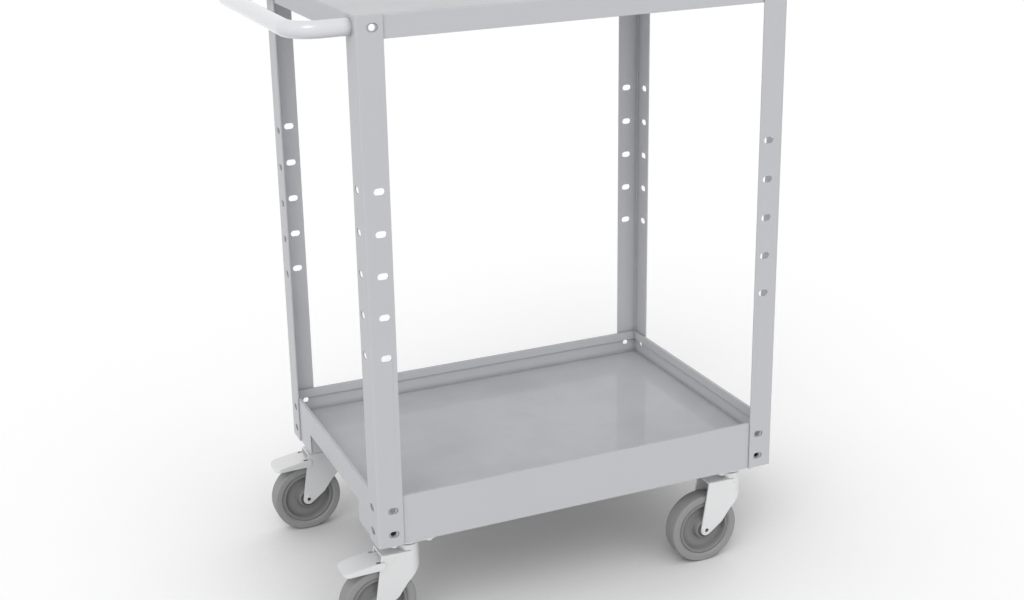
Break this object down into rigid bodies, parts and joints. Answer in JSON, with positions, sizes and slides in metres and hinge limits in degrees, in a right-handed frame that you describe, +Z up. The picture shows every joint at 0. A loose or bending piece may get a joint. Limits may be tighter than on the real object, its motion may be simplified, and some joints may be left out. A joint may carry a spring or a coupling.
{
  "type": "lab trolley",
  "caption": "Anti-static two-level lab trolley with slotted angle posts, flat top shelf, deep bottom tray, tube push handle and braked swivel casters.",
  "frame": {"origin": "on the floor, at the middle of the trolley's outline seen from above, handle included", "axes": "+X along the long side away from the handle, +Y across to the back, +Z up"},
  "size_m": [0.685, 0.404, 0.8515],
  "materials": {
    "frame_paint": "satin powder coat",
    "handle_paint": "satin powder coat",
    "zinc": "bright zinc plate",
    "wheel_core": "moulded",
    "tyre": "smooth grey rubber",
    "bush": "moulded",
    "brake_rubber": "matt"
  },
  "bodies": {
    "frame": {"post_front_left": "frame_paint", "post_front_right": "frame_paint", "post_back_left": "frame_paint", "post_back_right": "frame_paint", "bottom_tray": "frame_paint", "top_shelf": "frame_paint", "push_handle": "handle_paint", "handle_plugs": "zinc", "handle_bolts": "zinc", "caster_bolts": "zinc", "caster_nuts": "zinc", "caster_mount_front_left": "frame_paint", "top_plate_front_left": "zinc", "kingpin_front_left": "zinc", "caster_mount_front_right": "frame_paint", "top_plate_front_right": "zinc", "kingpin_front_right": "zinc", "caster_mount_back_left": "frame_paint", "top_plate_back_left": "zinc", "kingpin_back_left": "zinc", "caster_mount_back_right": "frame_paint", "top_plate_back_right": "zinc", "kingpin_back_right": "zinc"},
    "swivel_front_left": {"fork_front_left": "zinc", "race_balls_front_left": "zinc", "axle_front_left": "zinc", "axle_sleeve_front_left": "zinc", "pedal_pin_front_left": "zinc", "brake_spring_front_left": "zinc"},
    "wheel_front_left": {"wheel_core_front_left": "wheel_core", "tyre_front_left": "tyre", "wheel_bushes_front_left": "bush"},
    "pedal_front_left": {"brake_pedal_front_left": "zinc", "brake_shoe_front_left": "brake_rubber"},
    "swivel_front_right": {"fork_front_right": "zinc", "race_balls_front_right": "zinc", "axle_front_right": "zinc", "axle_sleeve_front_right": "zinc"},
    "wheel_front_right": {"wheel_core_front_right": "wheel_core", "tyre_front_right": "tyre", "wheel_bushes_front_right": "bush"},
    "swivel_back_left": {"fork_back_left": "zinc", "race_balls_back_left": "zinc", "axle_back_left": "zinc", "axle_sleeve_back_left": "zinc", "pedal_pin_back_left": "zinc", "brake_spring_back_left": "zinc"},
    "wheel_back_left": {"wheel_core_back_left": "wheel_core", "tyre_back_left": "tyre", "wheel_bushes_back_left": "bush"},
    "pedal_back_left": {"brake_pedal_back_left": "zinc", "brake_shoe_back_left": "brake_rubber"},
    "swivel_back_right": {"fork_back_right": "zinc", "race_balls_back_right": "zinc", "axle_back_right": "zinc", "axle_sleeve_back_right": "zinc"},
    "wheel_back_right": {"wheel_core_back_right": "wheel_core", "tyre_back_right": "tyre", "wheel_bushes_back_right": "bush"}
  },
  "joints": [
    {"name": "swivel_front_left", "type": "hinge", "parent": "frame", "child": "swivel_front_left", "pos_m": [-0.2115, -0.17, 0.1275], "axis": [0, 0, 1], "continuous": true},
    {"name": "roll_front_left", "type": "hinge", "parent": "swivel_front_left", "child": "wheel_front_left", "pos_m": [-0.2565, -0.17, 0.0525], "axis": [0, 1, 0], "continuous": true},
    {"name": "brake_front_left", "type": "hinge", "parent": "swivel_front_left", "child": "pedal_front_left", "pos_m": [-0.2355, -0.17, 0.1175], "axis": [0, -1, 0], "range_deg": [0, 10]},
    {"name": "swivel_front_right", "type": "hinge", "parent": "frame", "child": "swivel_front_right", "pos_m": [0.2925, -0.17, 0.1275], "axis": [0, 0, 1], "continuous": true},
    {"name": "roll_front_right", "type": "hinge", "parent": "swivel_front_right", "child": "wheel_front_right", "pos_m": [0.2475, -0.17, 0.0525], "axis": [0, 1, 0], "continuous": true},
    {"name": "swivel_back_left", "type": "hinge", "parent": "frame", "child": "swivel_back_left", "pos_m": [-0.2115, 0.17, 0.1275], "axis": [0, 0, 1], "continuous": true},
    {"name": "roll_back_left", "type": "hinge", "parent": "swivel_back_left", "child": "wheel_back_left", "pos_m": [-0.2565, 0.17, 0.0525], "axis": [0, 1, 0], "continuous": true},
    {"name": "brake_back_left", "type": "hinge", "parent": "swivel_back_left", "child": "pedal_back_left", "pos_m": [-0.2355, 0.17, 0.1175], "axis": [0, -1, 0], "range_deg": [0, 10]},
    {"name": "swivel_back_right", "type": "hinge", "parent": "frame", "child": "swivel_back_right", "pos_m": [0.2925, 0.17, 0.1275], "axis": [0, 0, 1], "continuous": true},
    {"name": "roll_back_right", "type": "hinge", "parent": "swivel_back_right", "child": "wheel_back_right", "pos_m": [0.2475, 0.17, 0.0525], "axis": [0, 1, 0], "continuous": true}
  ]
}
